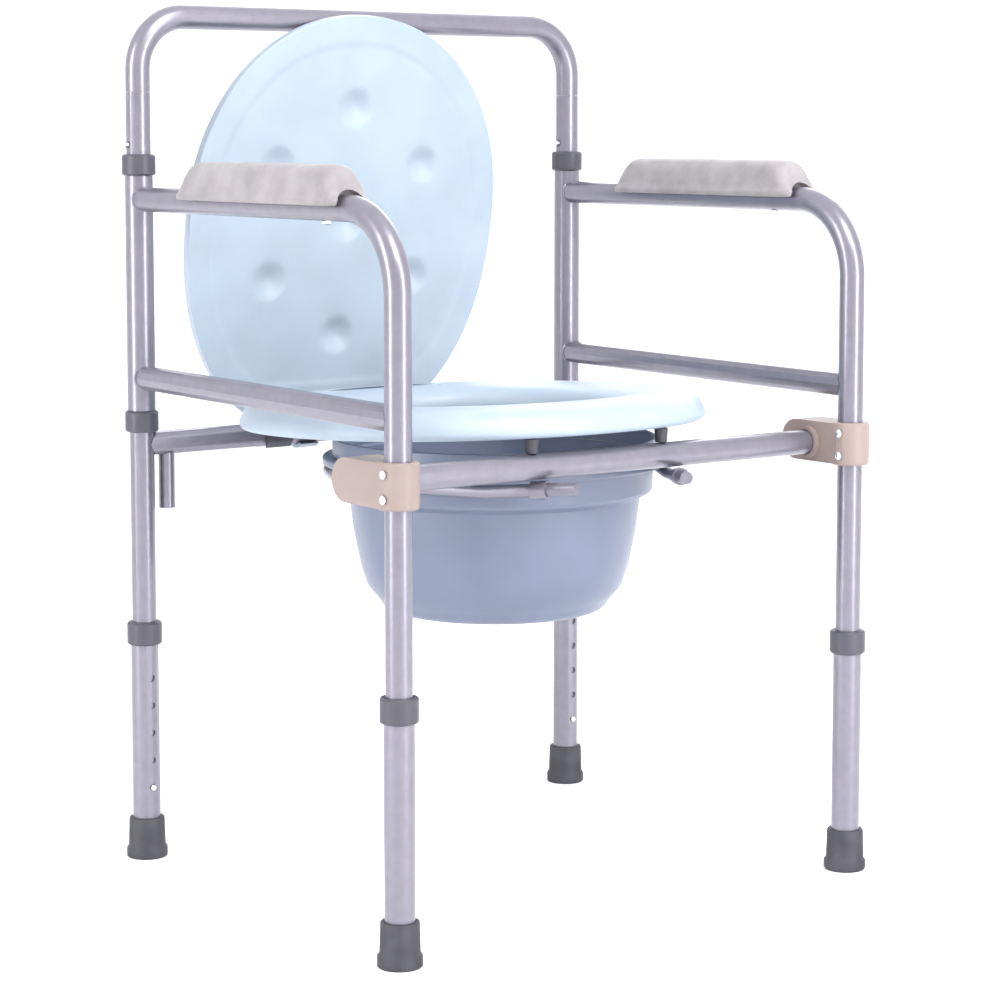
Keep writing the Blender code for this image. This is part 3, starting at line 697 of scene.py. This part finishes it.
def stage():
    """A pale studio bowl: a flat floor that curves up into a wall with no edge, so it has no horizon."""
    reach, bend, rise = 6.5, 2.5, 7.0
    profile = [(0.0, 0.0), (1.5, 0.0), (reach - bend, 0.0)]
    profile += arc((reach - bend, bend), bend, -90, 0, 16)
    profile += [(reach, rise)]
    floor = bowl("floor", profile)
    paint = Nodes("pale_floor", (0.90, 0.90, 0.91), 0.75)
    paint.vary_colour(paint.noise(0.6), (0.89, 0.89, 0.90), (0.91, 0.91, 0.92))
    floor.data.materials.append(paint.material)
    world = bpy.data.worlds.new("studio")
    bpy.context.scene.world = world
    world.use_nodes = True
    background = world.node_tree.nodes["Background"]
    background.inputs["Color"].default_value = (0.96, 0.97, 1.0, 1.0)
    background.inputs["Strength"].default_value = WORLD_STRENGTH
    bpy.context.scene.view_settings.view_transform = "Standard"


def bowl(name, profile, steps=96):
    bm = bmesh.new()
    middle = bm.verts.new((0, 0, 0))
    rings = []
    for r, z in profile[1:]:
        turns = [2 * math.pi * i / steps for i in range(steps)]
        rings.append([bm.verts.new((r * math.cos(t), r * math.sin(t), z)) for t in turns])
    for i in range(steps):
        bm.faces.new((middle, rings[0][i], rings[0][(i + 1) % steps]))
    for one, other in zip(rings, rings[1:]):
        bridge(bm, one, other)
    obj = from_bmesh(name, bm)
    obj.data.flip_normals()
    return obj


def area_light(name, azimuth, distance, height, size, power, aim=(0, 0, 0.42)):
    """A soft box at an azimuth round the chair, in degrees, where 0 is in front of it."""
    turn = math.radians(azimuth)
    place = Vector((math.sin(turn) * distance, -math.cos(turn) * distance, height))
    data = bpy.data.lights.new(name, "AREA")
    data.shape = "RECTANGLE"
    data.size, data.size_y = size
    data.energy = power
    light = bpy.data.objects.new(name, data)
    bpy.context.scene.collection.objects.link(light)
    light.location = place
    light.rotation_euler = (Vector(aim) - place).to_track_quat("-Z", "Y").to_euler()


def lights():
    camera_side = -36.3
    area_light("left_strip", camera_side - 58, 2.8, 0.9, (0.30, 2.6), 60)
    area_light("right_strip", camera_side + 48, 2.8, 0.9, (0.30, 2.6), 60)
    area_light("key_box", camera_side + 35, 2.2, 3.0, (1.2, 1.2), 90)
    area_light("back_box", camera_side + 170, 2.4, 1.8, (1.8, 1.2), 20)


def camera():
    data = bpy.data.cameras.new("camera")
    data.sensor_width = 36.0
    data.lens = CAMERA_LENS
    data.shift_y = CAMERA_SHIFT_Y
    data.clip_end = 50.0
    obj = bpy.data.objects.new("camera", data)
    bpy.context.scene.collection.objects.link(obj)
    obj.location = CAMERA_PLACE
    obj.rotation_euler = (math.radians(90 + CAMERA_PITCH), 0.0, math.radians(CAMERA_TURN))
    bpy.context.scene.camera = obj


SOFT_EDGES = {
    "front_bracket": 0.0009,
    "seat_clip": 0.0006,
    "rod_rest": 0.0006,
    "seat_bumper": 0.0008,
}

upper_tubes()
weld_beads()
for SIDE in SIDES:
    arm_pad(SIDE)
pail()
pail_rod()
seat()
lid()
for NODE in sorted(frame["nodes"]):
    if not frame["nodes"][NODE].hide_render:
        EDGE = next((e for stem, e in SOFT_EDGES.items() if NODE.startswith(stem)), 0.0)
        refined(NODE, EDGE)
stage()
lights()
camera()
